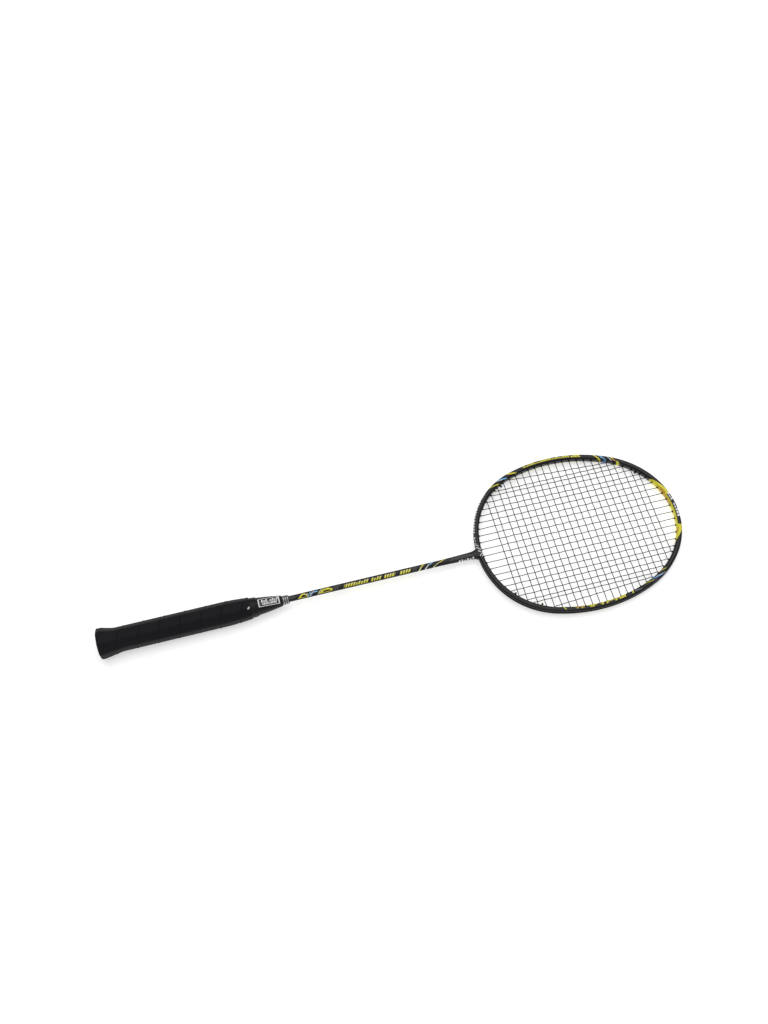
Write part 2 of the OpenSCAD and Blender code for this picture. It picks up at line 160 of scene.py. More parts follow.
def skin(bm, rings, uvs=None, loop=False, caps=True):
    """Joins rings of points, in mm, with quads; uvs gives (u, v) for each ring and point."""
    rows = [[bm.verts.new(Vector(p) * MM) for p in ring] for ring in rings]
    layer = bm.loops.layers.uv.verify() if uvs else None
    n = len(rings[0])
    last = len(rows) if loop else len(rows) - 1
    for i in range(last):
        j = (i + 1) % len(rows)
        for k in range(n):
            q = (k + 1) % n
            face = bm.faces.new((rows[i][k], rows[j][k], rows[j][q], rows[i][q]))
            if layer:
                for corner, (a, b) in zip(face.loops, corners_of(i, k)):
                    corner[layer].uv = uvs(a, b)
    if caps and not loop:
        bm.faces.new(rows[0][::-1])
        bm.faces.new(rows[-1])
    return rows


def around(x, r, degrees):
    """Point at a radius from the X axis, its angle counted from +Z towards +Y."""
    return (x, r * sin_d(degrees), r * cos_d(degrees))


def circle(x, r, n):
    """Ring of points round the X axis."""
    return [around(x, r, 360 * k / n) for k in range(n)]


def plate(bm, low, top):
    """Closes a thin plate between two grids of vertices; gives back the faces of its top."""
    rows, cols = len(top) - 1, len(top[0]) - 1
    faces = {}
    for i in range(rows):
        for j in range(cols):
            faces[i, j] = bm.faces.new([top[a][b] for a, b in corners_of(i, j)])
            bm.faces.new([low[a][b] for a, b in reversed(corners_of(i, j))])
    for i in range(rows):
        bm.faces.new((low[i][0], low[i + 1][0], top[i + 1][0], top[i][0]))
        bm.faces.new((top[i][cols], top[i + 1][cols], low[i + 1][cols], low[i][cols]))
    for j in range(cols):
        bm.faces.new((top[0][j], top[0][j + 1], low[0][j + 1], low[0][j]))
        bm.faces.new((low[rows][j], low[rows][j + 1], top[rows][j + 1], top[rows][j]))
    return faces


def lathe(piece, profile, material, replaced, n=96, hollow=False, sharp=40):
    """Turns a profile of (x, radius) round the X axis; hollow closes the profile on itself."""
    bm = bmesh.new()
    skin(bm, [circle(x, r, n) for x, r in profile], loop=hollow, caps=not hollow)
    return finish_mesh(piece, bm, material, sharp, replaced)


def smooth01(t):
    t = min(1.0, max(0.0, t))
    return t * t * (3 - 2 * t)


def arc_points(cx, cy, r, a0, a1, n):
    """Points of an arc in a section plane, angles in degrees."""
    return [(cx + r * cos_d(a0 + (a1 - a0) * k / n), cy + r * sin_d(a0 + (a1 - a0) * k / n))
            for k in range(n + 1)]


# ---- material helpers ----

YELLOW = (0.92, 0.85, 0.05, 1)
PALE = (0.94, 0.92, 0.46, 1)
GOLD = (0.72, 0.47, 0.03, 1)
ORANGE = (0.92, 0.38, 0.06, 1)
SKY = (0.24, 0.60, 0.94, 1)
DEEP = (0.03, 0.12, 0.36, 1)
WHITE = (0.95, 0.95, 0.95, 1)
GREY = (0.05, 0.05, 0.055, 1)
PURPLE = (0.10, 0.05, 0.12, 1)
INK = (0.006, 0.006, 0.007, 1)


class Look:
    """A node material with short calls for the nodes that this scene needs."""

    def __init__(self, name, **sockets):
        self.material = bpy.data.materials.new(name)
        self.material.use_nodes = True
        self.tree = self.material.node_tree
        self.shader = self.tree.nodes["Principled BSDF"]
        for key, value in sockets.items():
            self.shader.inputs[key.replace("_", " ")].default_value = value

    def node(self, kind, **settings):
        made = self.tree.nodes.new(kind)
        for key, value in settings.items():
            setattr(made, key, value)
        return made

    def put(self, socket, value):
        """Links an output to a socket, or sets the socket's number or colour."""
        if isinstance(value, bpy.types.NodeSocket):
            self.tree.links.new(value, socket)
        else:
            socket.default_value = value

    def math(self, operation, *values):
        made = self.node("ShaderNodeMath", operation=operation)
        for socket, value in zip(made.inputs, values):
            self.put(socket, value)
        return made.outputs[0]

    def mix(self, amount, a, b):
        made = self.node("ShaderNodeMix", data_type="RGBA")
        self.put(made.inputs[0], amount)
        self.put(made.inputs[6], a)
        self.put(made.inputs[7], b)
        return made.outputs[2]

    def ramp(self, value, low, high):
        made = self.node("ShaderNodeMapRange")
        self.put(made.inputs["Value"], value)
        made.inputs["To Min"].default_value = low
        made.inputs["To Max"].default_value = high
        return made.outputs[0]

    def place(self):
        """Object coordinates in metres."""
        return self.node("ShaderNodeTexCoord").outputs["Object"]

    def noise(self, vector, scale, detail=3.0, rough=0.5):
        made = self.node("ShaderNodeTexNoise")
        self.put(made.inputs["Vector"], vector)
        made.inputs["Scale"].default_value = scale
        made.inputs["Detail"].default_value = detail
        made.inputs["Roughness"].default_value = rough
        return made.outputs["Fac"]

    def cells(self, vector, scale, feature="F1"):
        made = self.node("ShaderNodeTexVoronoi", feature=feature)
        self.put(made.inputs["Vector"], vector)
        made.inputs["Scale"].default_value = scale
        return made.outputs["Distance"]

    def stretch(self, vector, amounts):
        made = self.node("ShaderNodeVectorMath", operation="MULTIPLY")
        self.put(made.inputs[0], vector)
        made.inputs[1].default_value = amounts
        return made.outputs[0]

    def bump(self, height, distance, strength=1.0, under=None):
        made = self.node("ShaderNodeBump")
        made.inputs["Strength"].default_value = strength
        made.inputs["Distance"].default_value = distance
        self.put(made.inputs["Height"], height)
        if under:
            self.put(made.inputs["Normal"], under)
        return made.outputs[0]

    def set(self, **links):
        for key, value in links.items():
            self.put(self.shader.inputs[key.replace("_", " ")], value)
        return self.material


class Print:
    """Flat coloured marks in two coordinates: u along the piece in mm and v across it."""

    def __init__(self, look, u, v, ground):
        self.look, self.u, self.v, self.colour = look, u, v, ground

    def within(self, value, lo, hi):
        return self.look.math("COMPARE", value, (lo + hi) / 2, (hi - lo) / 2)

    def slanted(self, slope):
        return self.look.math("MULTIPLY_ADD", self.v, -slope, self.u)

    def lay(self, mask, ink):
        self.colour = self.look.mix(mask, self.colour, ink)

    def band(self, ink, lo, hi, lean_lo=0.0, lean_hi=None, v0=-0.5, v1=1.1):
        """A mark from u = lo to hi, whose ends lean by so many mm over one unit of v."""
        m = self.look.math
        lean_hi = lean_lo if lean_hi is None else lean_hi
        if lean_hi == lean_lo:
            mask = self.within(self.slanted(lean_lo), lo, hi)
        else:
            after = m("GREATER_THAN", self.slanted(lean_lo), lo)
            mask = m("MULTIPLY", after, m("LESS_THAN", self.slanted(lean_hi), hi))
        self.lay(m("MULTIPLY", mask, self.within(self.v, v0, v1)), ink)

    def bars(self, ink, lo, hi, pitch, fill, v0, v1, lean=0.0, seed=0.0):
        """A row of plain bars: random ones are missing and random ones are shorter."""
        m = self.look.math
        w = self.slanted(lean)
        step = m("DIVIDE", w, pitch)
        chance = self.look.node("ShaderNodeTexWhiteNoise", noise_dimensions="1D")
        self.look.put(chance.inputs["W"], m("ADD", m("FLOOR", step), seed))
        luck = chance.outputs["Value"]
        part = self.within(m("FRACT", step), (1 - fill) / 2, (1 + fill) / 2)
        kept = m("GREATER_THAN", luck, 0.12)
        middle = (v0 + v1) / 2
        short = m("MULTIPLY", m("GREATER_THAN", luck, 0.66), m("GREATER_THAN", self.v, middle))
        high = m("SUBTRACT", 1.0, short)
        mask = m("MULTIPLY", m("MULTIPLY", part, kept), high)
        zone = m("MULTIPLY", self.within(w, lo, hi), self.within(self.v, v0, v1))
        self.lay(m("MULTIPLY", mask, zone), ink)


def painted(name, u_v, marks):
    """Gloss lacquer over black with printed marks and a few painted highlight streaks, orange peel,
    faint flake and fine scuffs.
    """
    look = Look(name, Coat_Weight=0.1, Coat_Roughness=0.16, Specular_IOR_Level=0.26)
    place = look.place()
    u, v = u_v(look, place)
    cloud = look.noise(place, 60, 2)
    black = look.mix(look.ramp(cloud, 0.2, 0.8), INK, (0.010, 0.010, 0.012, 1))
    flake = look.math("LESS_THAN", look.cells(place, 2600), 0.16)
    black = look.mix(look.math("MULTIPLY", flake, 0.25), black, (0.07, 0.07, 0.08, 1))
    sheet = Print(look, u, v, black)
    marks(sheet)
    grime = look.noise(place, 420, 4, 0.6)
    colour = look.mix(look.ramp(grime, 0.0, 0.16), sheet.colour, INK)
    rough = look.ramp(look.noise(place, 150, 4, 0.65), 0.18, 0.36)
    peel = look.bump(look.noise(place, 900, 2), 0.00002, 0.35)
    return look.set(Base_Color=colour, Roughness=rough, Normal=peel)


# ---- materials ----

def mapped(look, name):
    """The two coordinates of a named UV map."""
    parts = look.node("ShaderNodeSeparateXYZ")
    look.put(parts.inputs[0], look.node("ShaderNodeUVMap", uv_map=name).outputs[0])
    return parts.outputs[0], parts.outputs[1]


def hoop_coordinates(look, _):
    """u is mm from the tip, positive on the far side; v is 0 at the inner wall, 1 outside."""
    return mapped(look, "paint")


def crest_marks(p):
    """Yellow crest over the crown with a row of white bars outside it."""
    p.band(YELLOW, 19.0, 46.0, -3.0, -25.0, v1=0.92)
    p.band(GOLD, 20.0, 33.0, -3.0, -18.0, v1=0.36)
    p.band(YELLOW, -24.0, 20.0, v1=0.2)
    p.band(GOLD, 4.0, 20.0, v1=0.07)
    p.band(YELLOW, -45.5, -23.5, 17.0, 0.0, v1=0.88)
    p.band(GOLD, -36.0, -30.0, 17.0, v1=0.3)
    p.bars(WHITE, -22.0, 19.0, 3.7, 0.72, 0.4, 0.94, 1.5, 3.0)


def far_marks(p):
    """Far side, from the crown's shoulder to the throat, with one painted highlight line among the
    print.
    """
    p.band(YELLOW, 110.2, 112.8, 9.0)
    p.band(SKY, 103.2, 106.4, 9.0)
    p.band(DEEP, 104.4, 106.4, 9.0, v1=0.35)
    p.band(WHITE, 95.8, 97.0, 8.0, v0=0.1)
    p.band(YELLOW, 91.2, 93.4, 8.0, v0=0.5)
    p.band(ORANGE, 90.9, 93.2, 8.0, v0=0.2, v1=0.5)
    p.band(YELLOW, 87.0, 90.4, 9.0, v1=0.24)
    p.bars(YELLOW, 146.0, 204.0, 2.7, 0.78, 0.42, 0.84, 3.0, 17.0)
    p.bars(YELLOW, 132.5, 144.5, 4.0, 0.8, 0.34, 0.92, 5.0, 2.0)
    # Painted highlight: a thin grey line running along the hoop's outer top rounding.
    p.band(GREY, 196.0, 222.0, v0=0.66, v1=0.74)
    p.band(YELLOW, 212.0, 216.0, 14.0, v0=0.2, v1=0.95)
    p.band(ORANGE, 216.0, 217.4, 14.0, v0=0.35, v1=0.7)
    p.band(SKY, 227.0, 230.2, 14.0, v0=0.12)
    p.band(DEEP, 225.4, 227.0, 14.0, v0=0.3, v1=0.8)
    p.band(WHITE, 230.2, 231.2, 14.0, v0=0.35, v1=0.9)
    p.band(YELLOW, 240.2, 242.6, 14.0, v0=0.1)
    p.bars(WHITE, 264.0, 332.0, 3.6, 0.5, 0.8, 1.0, 0.0, 60.0)


def near_marks(p):
    """Near side, from the crown's shoulder to the throat."""
    p.band(YELLOW, -93.4, -91.6, 16.0, v1=0.5)
    p.band(ORANGE, -91.9, -91.2, 16.0, v1=0.35)
    p.band(SKY, -110.6, -107.6, 21.0, v0=0.15, v1=0.8)
    p.band(DEEP, -112.0, -110.6, 21.0, v0=0.2, v1=0.7)
    p.band(WHITE, -107.2, -106.2, 21.0, v0=0.3, v1=0.9)
    p.band(YELLOW, -121.6, -119.2, 27.0, v1=0.55)
    p.band(PURPLE, -110.0, -103.0, 4.0, v0=0.62, v1=0.8)
    p.band(WHITE, -140.6, -139.7, 27.0, v0=0.3, v1=0.6)
    p.bars(YELLOW, -190.0, -133.0, 2.7, 0.8, 0.05, 0.56, -3.0, 29.0)
    p.bars(GOLD, -204.0, -193.0, 2.4, 0.78, 0.05, 0.54, -3.0, 55.0)
    p.band(YELLOW, -218.8, -217.4, 6.0, v1=0.6)
    p.band(SKY, -229.0, -226.0, 3.0, v1=0.12)
    p.bars(WHITE, -236.0, -222.0, 3.0, 0.36, -0.1, 0.18, 0.0, 5.0)
    p.band(YELLOW, -243.0, -240.0, 6.0, v1=0.16)


def joint_marks(p):
    """Short white slashes side by side over the joint."""
    p.band(WHITE, 341.4, 342.8, -5.0, v0=0.05, v1=0.8)
    p.band(WHITE, 338.0, 339.2, -5.0, v0=0.2, v1=0.95)
    p.band(WHITE, 334.8, 335.8, -5.0, v0=0.45, v1=0.95)
    p.band(WHITE, -340.6, -339.4, 5.0, v0=0.05, v1=0.7)
    p.band(WHITE, -337.6, -336.6, 5.0, v0=0.05, v1=0.4)


def hoop_marks(p):
    crest_marks(p)
    far_marks(p)
    near_marks(p)
    joint_marks(p)


def round_coordinates(look, place):
    """u is mm from the butt; v runs from -1 to 1 across the shaft, near side to far side."""
    parts = look.node("ShaderNodeSeparateXYZ")
    look.put(parts.inputs[0], place)
    u = look.math("MULTIPLY", parts.outputs[0], 1000.0)
    return u, look.math("MULTIPLY", parts.outputs[1], 1000.0 / SHAFT_R)


def shaft_marks(p):
    """Wedges near the collar, two rows of bars, then slashes and dashes near the throat; the pale
    streaks along the top of the shaft are painted highlight.
    """
    wide = {"v0": -2.0, "v1": 2.0}
    p.band(GREY, 214.5, 221.0, v0=-0.6, v1=0.2)
    p.band(YELLOW, 227.6, 232.8, 4.4, -3.4, v0=-0.88, v1=0.3)
    p.band(INK, 230.2, 231.4, 4.4, -3.4, v0=-0.8, v1=-0.1)
    # Painted highlight: a pale streak along the top of the shaft, next to the yellow wedge.
    p.band(PALE, 231.6, 235.6, v0=-0.3, v1=-0.06)
    p.band(SKY, 237.6, 239.0, 4.4, v0=-0.85, v1=0.4)
    p.band(WHITE, 240.6, 241.8, 4.4, v0=-0.88, v1=0.3)
    p.band(DEEP, 242.2, 243.6, 4.4, v0=-0.85, v1=0.1)
    p.band(SKY, 242.4, 246.6, 4.4, 0.0, v0=-0.2, v1=0.2)
    p.band(PALE, 249.6, 251.0, 4.0, v0=-0.88, v1=0.5)
    p.band(YELLOW, 252.4, 261.4, 5.0, -7.0, v0=-0.86, v1=0.42)
    p.band(INK, 255.2, 257.2, 5.0, -7.0, v0=-0.76, v1=-0.26)
    p.band(INK, 254.0, 255.6, 5.0, v0=0.0, v1=0.5)
    p.band(GREY, 265.0, 272.0, 3.0, v0=-0.9, v1=0.3)
    # The PALE bars are painted highlight: they lighten the tops of the yellow bars, along the top
    # of the shaft.
    p.bars(YELLOW, 278.0, 337.0, 3.0, 0.66, -0.84, 0.08, 2.2, 75.0)
    p.bars(PALE, 278.0, 337.0, 3.0, 0.45, -0.4, 0.08, 2.2, 75.0)
    p.bars(YELLOW, 341.0, 355.5, 3.2, 0.68, -0.84, 0.08, 2.2, 91.0)
    p.bars(PALE, 341.0, 355.5, 3.2, 0.45, -0.4, 0.08, 2.2, 91.0)
    p.band(GREY, 357.0, 362.5, 2.0, v0=-0.9, v1=0.4)
    p.band(YELLOW, 366.9, 368.7, 4.0, **wide)
    p.band(PALE, 366.9, 368.7, 4.0, v0=-2.0, v1=-0.3)
    p.band(SKY, 375.4, 378.4, 5.0, v0=0.0, v1=2.0)
    p.band(WHITE, 375.2, 376.8, 5.0, v0=-2.0, v1=0.0)
    p.band(YELLOW, 387.8, 390.4, 8.0, v0=-0.1, v1=2.0)
    p.band(PALE, 387.8, 389.2, 8.0, v0=-2.0, v1=-0.1)
    p.band(GREY, 401.0, 426.0, 3.0, -4.0, v0=-0.7, v1=0.6)
    p.bars(WHITE, 406.0, 429.0, 3.2, 0.56, -1.3, -0.9, 0.0, 33.0)


def nylon(name, colour=(0.007, 0.007, 0.008, 1), shine=0.25):
    look = Look(name, Specular_IOR_Level=shine)
    place = look.place()
    tint = look.mix(look.noise(place, 300, 2), colour, tuple(c * 2 for c in colour[:3]) + (1,))
    rough = look.ramp(look.noise(place, 500, 3), 0.38, 0.55)
    return look.set(Base_Color=tint, Roughness=rough,
                    Normal=look.bump(look.noise(place, 4000, 2), 0.00003, 0.4))


def cone_plastic():
    """Black moulded plastic with a fine spark-eroded grain and soft rub marks."""
    look = Look("cone_plastic", Specular_IOR_Level=0.2)
    place = look.place()
    rub = look.noise(look.stretch(place, (0.25, 1, 1)), 260, 4, 0.6)
    tint = look.mix(look.ramp(rub, 0.0, 1.0), (0.006, 0.006, 0.007, 1), (0.013, 0.013, 0.015, 1))
    grain = look.bump(look.noise(place, 5200, 3), 0.00003, 0.5)
    return look.set(Base_Color=tint, Roughness=look.ramp(rub, 0.34, 0.56), Normal=grain)


def grip_leather():
    """Synthetic leather tape: pebble grain with painted shade in its valleys, faint rubbed sheen
    and sweat-dulled patches.
    """
    look = Look("grip_leather", Specular_IOR_Level=0.13, Sheen_Weight=0.03, Sheen_Roughness=0.5)
    look.shader.inputs["Sheen Tint"].default_value = (0.55, 0.55, 0.6, 1)
    place = look.place()
    pebble = look.cells(place, 1250)
    fine = look.noise(place, 3800, 3, 0.6)
    patch = look.noise(place, 55, 3, 0.55)
    dark, worn = (0.0068, 0.0068, 0.0085, 1), (0.0115, 0.0115, 0.0140, 1)
    tint = look.mix(look.ramp(patch, 0.2, 0.8), dark, worn)
    # Painted shade: the tint darkens towards the cell edges, which are the low valleys of the
    # pebble bump.
    tint = look.mix(look.math("MULTIPLY", pebble, 0.35), tint, (0.003, 0.003, 0.004, 1))
    height = look.math("MULTIPLY_ADD", fine, 0.25, look.math("SUBTRACT", 1.0, pebble))
    rough = look.ramp(look.noise(place, 120, 4, 0.6), 0.5, 0.68)
    return look.set(Base_Color=tint, Roughness=rough, Normal=look.bump(height, 0.00009, 0.55))


def tape_vinyl():
    look = Look("tape_vinyl", Specular_IOR_Level=0.18)
    place = look.place()
    crepe = look.noise(look.stretch(place, (3.0, 0.5, 0.5)), 900, 3, 0.6)
    tint = look.mix(crepe, (0.006, 0.006, 0.007, 1), (0.013, 0.013, 0.015, 1))
    return look.set(Base_Color=tint, Roughness=look.ramp(crepe, 0.28, 0.5),
                    Normal=look.bump(crepe, 0.00006, 0.5))


def brushed(name, low, high, rough, metallic=1.0):
    """Turned metal or metallic paint with fine lines round the X axis."""
    look = Look(name, Metallic=metallic)
    place = look.place()
    lines = look.noise(look.stretch(place, (1, 0.04, 0.04)), 5200, 3, 0.7)
    blotch = look.noise(place, 400, 3)
    tint = look.mix(look.math("MULTIPLY", lines, blotch), low, high)
    return look.set(Base_Color=tint, Roughness=look.ramp(lines, rough, rough + 0.2),
                    Normal=look.bump(lines, 0.00002, 0.3))


def string_coat():
    """Black coated multifilament with a fine twist and a dull rub that comes and goes at random."""
    look = Look("string_coat", Specular_IOR_Level=0.06)
    place = look.place()
    along, round_it = mapped(look, "twist")
    turn = look.math("MULTIPLY_ADD", round_it, 6.0, along)
    lay = look.math("SINE", look.math("MULTIPLY", turn, TAU))
    wear = look.noise(place, 700, 3, 0.6)
    tint = look.mix(look.ramp(wear, 0.3, 0.8), (0.002, 0.002, 0.002, 1), (0.005, 0.005, 0.006, 1))
    return look.set(Base_Color=tint, Roughness=look.ramp(wear, 0.36, 0.55),
                    Normal=look.bump(lay, 0.00002, 0.35))


def pale_wood():
    look = Look("pale_wood")
    place = look.place()
    grain = look.noise(look.stretch(place, (0.06, 1, 1)), 700, 5, 0.6)
    tint = look.mix(grain, (0.50, 0.31, 0.15, 1), (0.68, 0.47, 0.26, 1))
    return look.set(Base_Color=tint, Roughness=look.ramp(grain, 0.5, 0.7),
                    Normal=look.bump(grain, 0.0001, 0.5))


def label_print():
    """Printed label: a pale outline round two rows of plain pale blocks on black."""
    look = Look("label_print", Coat_Weight=0.15, Coat_Roughness=0.2, Specular_IOR_Level=0.4)
    place = look.place()
    u, v = mapped(look, "paint")
    p = Print(look, u, v, INK)
    m = look.math
    inner = m("MULTIPLY", p.within(u, 1.1, 20.9), p.within(v, 0.8, 11.2))
    p.lay(m("SUBTRACT", 1.0, inner), WHITE)
    p.bars(WHITE, 2.2, 19.8, 2.2, 0.66, 6.6, 10.0, 0.12, 8.0)
    p.bars(WHITE, 3.6, 18.6, 1.7, 0.62, 2.1, 5.2, 0.12, 19.0)
    p.band(WHITE, 3.0, 19.0, v0=5.8, v1=6.2)
    wear = look.ramp(look.noise(place, 900, 4, 0.6), 0.0, 0.14)
    worn = look.mix(wear, p.colour, (0.2, 0.2, 0.2, 1))
    return look.set(Base_Color=worn, Roughness=look.ramp(look.noise(place, 300, 3), 0.3, 0.45))


def floor_paper():
    look = Look("floor_paper", Specular_IOR_Level=0.1, Emission_Strength=0.5)
    look.shader.inputs["Emission Color"].default_value = (1, 1, 1, 1)
    place = look.place()
    tone = look.mix(look.noise(place, 3, 3), (0.90, 0.90, 0.90, 1), (0.94, 0.94, 0.94, 1))
    return look.set(Base_Color=tone, Roughness=look.ramp(look.noise(place, 60, 3), 0.85, 0.95))


# ---- hoop, fairing and shaft ----

def hoop_section():
    """(out, z) points round the hoop section and the print's v at each."""
    half_w, half_d, r = HOOP_W / 2, HOOP_D / 2, HOOP_CORNER
    floor = half_w - GROOVE_D
    lip = GROOVE_HALF
    top = [(floor, 0.0), (floor, lip - 0.35), (floor + 0.1, lip - 0.1), (floor + 0.35, lip),
           (half_w - 0.22, lip), (half_w - 0.06, lip + 0.07)]
    top += arc_points(half_w - r, half_d - r, r, 1.5, 90, 12)
    top += arc_points(r - half_w, half_d - r, r, 90, 180, 12)
    top += [(-half_w, 0.9), (-half_w, 0.0)]
    under = [(o, -z) for o, z in reversed(top[1:-1])]
    points = top + under
    groove_points = 5
    across = []
    for k, (o, z) in enumerate(points):
        groove = k < groove_points or k > len(points) - groove_points
        across.append(IN_GROOVE if groove else (o + half_w) / HOOP_W)
    return points, across


def make_hoop(material, groove_material):
    """Hoop swept along the rim, with its print laid out on it and its groove in nylon."""
    points, across = hoop_section()
    total = RUN_AT[-1]
    steps = 340
    lengths = [total * (i / steps - 1) for i in range(2 * steps)]
    rings = []
    for s in lengths:
        a = min(180.0, direction_at(abs(s)))
        side = 1 if s >= 0 else -1
        rings.append([(*rim(a, o, side), z) for o, z in points])
    n = len(points)

    def paint(i, k):
        return (total * (i / steps - 1), across[k % n])

    bm = bmesh.new()
    bm.loops.layers.uv.new("paint")
    skin(bm, rings, paint, loop=True)
    bm.faces.ensure_lookup_table()
    for i, face in enumerate(bm.faces):
        k = i % n
        if across[k] == across[(k + 1) % n] == IN_GROOVE:
            face.material_index = 1
    hoop = finish_mesh("hoop", bm, material, 32, ["frame_hoop"])
    hoop.data.materials.append(groove_material)
    return hoop


def make_fairing(material):
    """Flare from the round shaft to the hoop, spreading into small fillets at the hoop."""
    face = ARC_C[4][0] - ARC_R[4] - HOOP_W / 2
    end = face + 2.4
    rings = []
    steps = 44
    for i in range(steps + 1):
        t = i / steps
        x = FAIRING_START + (end - FAIRING_START) * t
        grow = 0.55 * t + 0.45 * t * t
        wide = SHAFT_R + 0.03 + 1.5 * grow
        deep = SHAFT_R + 0.03 + 0.85 * grow
        near_hoop = max(0.0, (x - (face - 7.5)) / 9.9)
        wide += 4.6 * near_hoop ** 2.6
        power = 2.0 + 0.7 * near_hoop
        ring = []
        for k in range(72):
            c, s = math.cos(TAU * k / 72), math.sin(TAU * k / 72)
            y = wide * math.copysign(abs(s) ** (2 / power), s)
            z = deep * math.copysign(abs(c) ** (2 / power), c)
            bend = 0.5 * y * y / (ARC_R[4] + HOOP_W / 2) * near_hoop
            ring.append((x + bend, y, z))
        rings.append(ring)
    bm = bmesh.new()
    skin(bm, rings)
    return finish_mesh("throat_flare", bm, material, 50, ["throat_fairing"])


def make_shaft(material):
    """Visible outside of the tube with many rings, so that it can take its gloss cleanly."""
    start = CONE_END - 30
    profile = [(start, SHAFT_R - 1.2), (start, SHAFT_R)]
    profile += [(start + (FAIRING_START + 6 - start) * k / 60, SHAFT_R) for k in range(1, 61)]
    profile += [(FAIRING_START + 6, SHAFT_R - 1.2)]
    return lathe("shaft_tube", profile, material, ["shaft"], 72, hollow=True)


# ---- cone, collar and tape ----

def cone_r(x):
    t = (x - CONE_START) / (CONE_END - CONE_START)
    return 6.0 + 5.4 * (1 - t * t)


def make_cone(material):
    start = GRIP_END - 8
    bore, tip = SHAFT_R + 0.1, cone_r(CONE_END)
    stations = [start + (CONE_END - 0.6 - start) * k / 40 for k in range(1, 41)]
    profile = [(start, bore), (start, cone_r(start))] + [(x, cone_r(x)) for x in stations]
    profile += [(CONE_END - 0.35, tip - 0.02), (CONE_END - 0.1, tip - 0.25),
                (CONE_END, tip - 0.6), (CONE_END, bore)]
    return lathe("cone_body", profile, material, ["cone"], 112, hollow=True)


def make_label(material):
    """Thin label on the cone, with its print laid out in mm along and across."""
    half, lean = 33.0, -3.0
    cols, rows = 40, 28
    middle_r = cone_r((LABEL_START + LABEL_END) / 2)
    bm = bmesh.new()
    layer = bm.loops.layers.uv.new("paint")
    grids = []
    for lift in (0.02, 0.16):
        grid = []
        for i in range(cols + 1):
            x = LABEL_START + (LABEL_END - LABEL_START) * i / cols
            span = half * middle_r / cone_r(x)
            angles = [lean + span * (2 * j / rows - 1) for j in range(rows + 1)]
            grid.append([bm.verts.new(Vector(around(x, cone_r(x) + lift, a)) * MM)
                         for a in angles])
        grids.append(grid)
    for (i, j), face in plate(bm, *grids).items():
        for corner, (a, b) in zip(face.loops, corners_of(i, j)):
            corner[layer].uv = (LABEL_U * a / cols, LABEL_V * b / rows)
    return finish_mesh("cone_mark", bm, material, 40, ["cone_label"])


def make_collar(body, bright):
    """Dark sleeve with rounded ends and three bright rings."""
    def radius(x):
        t = (x - CONE_END) / (COLLAR_END - CONE_END)
        return COLLAR_WIDE_R - (COLLAR_WIDE_R - COLLAR_NARROW_R) * t

    inner = SHAFT_R + 0.05
    stations = [CONE_END + 0.3 + 7.2 * k / 16 for k in range(1, 17)]
    profile = [(CONE_END + 0.03, inner), (CONE_END + 0.03, radius(CONE_END) - 0.3),
               (CONE_END + 0.3, radius(CONE_END))]
    profile += [(x, radius(x)) for x in stations]
    profile += [(COLLAR_END - 0.15, radius(COLLAR_END) - 0.25), (COLLAR_END, inner + 0.3),
                (COLLAR_END, inner)]
    lathe("collar_body", profile, body, ["collar_sleeve"], 80, hollow=True)
    bm = bmesh.new()
    for k in range(3):
        x = CONE_END + 1.0 + 2.4 * k
        low = radius(x) + 0.02
        shape = [(x, low - 0.06), (x, low + 0.16), (x + 0.12, low + 0.29), (x + 0.35, low + 0.34),
                 (x + 0.85, low + 0.32), (x + 1.08, low + 0.25), (x + 1.2, low + 0.1),
                 (x + 1.2, low - 0.12)]
        skin(bm, [circle(px, pr, 80) for px, pr in shape], loop=True)
    finish_mesh("collar_bands", bm, bright, 40, ["collar_rings"])


def make_finish_tape(material):
    """Two turns of thin tape over the end of the grip, with slightly wavy edges."""
    turns, n = 2.0, 72
    profile = [(0.0, -0.25), (0.02, 0.2), (0.1, 0.36), (0.5, 0.38), (0.9, 0.3), (0.98, 0.16),
               (1.0, -0.1)]
    rings = []
    for t, lift in profile:
        x = TAPE_START + TAPE_LENGTH * t
        ring = []
        for k in range(n):
            a = TAU * k / n
            step = 0.16 * ((k / n) * turns % 1.0)
            wave = 0.12 * math.sin(3 * a + 2.0 * t)
            ring.append(around(x + wave, cone_r(x) + 0.45 + lift + step, 360 * k / n))
        rings.append(ring)
    under = (TAPE_START + TAPE_LENGTH, 173.0, TAPE_START)
    bm = bmesh.new()
    skin(bm, rings + [circle(x, cone_r(x) + 0.04, n) for x in under], loop=True)
    finish_mesh("end_tape", bm, material, 50, ["finish_tape"])


def make_tape_tab(material):
    """Small pale corner of the tape's backing, where its free end laps onto the grip."""
    corners = ((166.6, -24.0, 1.5), (167.5, -22.5, 5.0), (168.7, -20.0, 5.5), (169.5, -17.5, 1.5))
    bm = bmesh.new()
    grids = []
    for lift in (1.1, 2.05):
        grid = []
        for x, a, w in corners:
            angles = (a - w, a - w / 3, a + w / 3, a + w)
            grid.append([bm.verts.new(Vector(around(x, cone_r(x) + lift, d)) * MM) for d in angles])
        grids.append(grid)
    plate(bm, *grids)
    finish_mesh("end_tape_tab", bm, material, 40)


# ---- handle ----

def eight_r(angle, flats, softness):
    """Radius of a soft-cornered octagon at an angle in turns; softness 1 is a circle."""
    corner = abs(((angle * 8 + 0.5) % 1.0) - 0.5) * 2
    sharp = 1 / math.cos(math.radians(22.5) * corner) - 1
    worn = sharp * (1 - 0.28 * max(0.0, corner - 0.45) ** 2 / 0.3025)
    return flats / 2 * (1 + (1 - softness) * worn + softness * 0.03)


def eight_ring(x, flats, softness, n):
    """Ring of points on a soft-cornered octagon round the X axis."""
    return [around(x, eight_r(k / n, flats, softness), 360 * k / n) for k in range(n)]


